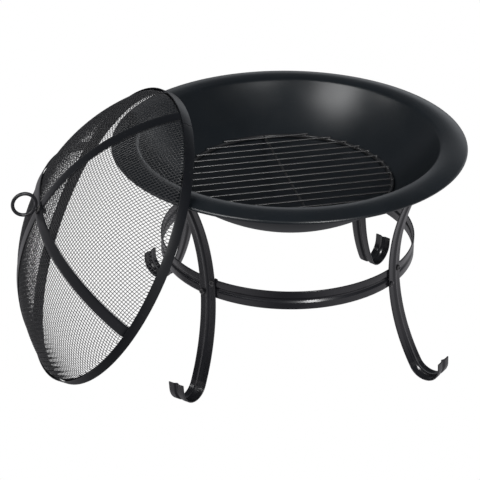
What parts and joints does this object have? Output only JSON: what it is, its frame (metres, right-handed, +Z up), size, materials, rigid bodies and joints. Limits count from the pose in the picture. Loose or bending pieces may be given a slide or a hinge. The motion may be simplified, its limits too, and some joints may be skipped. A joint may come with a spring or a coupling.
{
  "type": "fire pit with grate",
  "caption": "Round steel fire pit: a pressed bowl on a ribbed four-legged stand with a ring, a wire grate in the bowl, and a domed mesh spark screen leaning on its rim.",
  "frame": {"origin": "middle of the bounding box of the whole object at rest, at floor level", "axes": "+Z up from the floor; +X along the longest side, from the leaning screen toward the bowl; +Y to the back, away from the side with the front legs"},
  "size_m": [0.714, 0.6, 0.4311],
  "materials": {
    "stand_coat": "satin black powder coat",
    "fastener_coat": "satin black plated steel",
    "bowl_coat": "satin black heat-resistant enamel",
    "grate_wire": "satin black coated wire",
    "screen_wire": "black coated woven steel wire",
    "screen_trim": "satin black powder coat",
    "handle_rod": "satin black coated rod"
  },
  "bodies": {
    "stand": {"leg_front_left": "stand_coat", "leg_front_right": "stand_coat", "leg_back_right": "stand_coat", "leg_back_left": "stand_coat", "stand_ring": "stand_coat", "stand_bolts": "fastener_coat", "stand_nuts": "fastener_coat"},
    "bowl": {"bowl": "bowl_coat"},
    "grate": {"grate_ring": "grate_wire", "grate_cross_bar": "grate_wire", "grate_bar_1": "grate_wire", "grate_bar_2": "grate_wire", "grate_bar_3": "grate_wire", "grate_bar_4": "grate_wire", "grate_bar_5": "grate_wire", "grate_bar_6": "grate_wire", "grate_bar_7": "grate_wire", "grate_bar_8": "grate_wire", "grate_bar_9": "grate_wire", "grate_bar_10": "grate_wire", "grate_bar_11": "grate_wire", "grate_bar_12": "grate_wire", "grate_bar_13": "grate_wire", "grate_bar_14": "grate_wire", "grate_bar_15": "grate_wire"},
    "screen": {"screen_mesh": "screen_wire", "screen_band": "screen_trim", "screen_clamp": "screen_trim", "strap_lower": "screen_trim", "strap_upper": "screen_trim", "screen_handle": "handle_rod", "handle_washer_outer": "fastener_coat", "handle_washer_inner": "fastener_coat", "handle_nut": "fastener_coat"}
  },
  "joints": [
    {"name": "bowl_lift", "type": "slide", "parent": "stand", "child": "bowl", "axis": [0, 0, 1], "range_m": [0, 0.15]},
    {"name": "grate_lift", "type": "slide", "parent": "bowl", "child": "grate", "axis": [0, 0, 1], "range_m": [0, 0.12]},
    {"name": "screen_swing", "type": "hinge", "parent": "bowl", "child": "screen", "pos_m": [0.09934, 0.02624, 0.06677], "axis": [-0.2857, 0.9583, 0], "range_deg": [0, 61.2]}
  ]
}
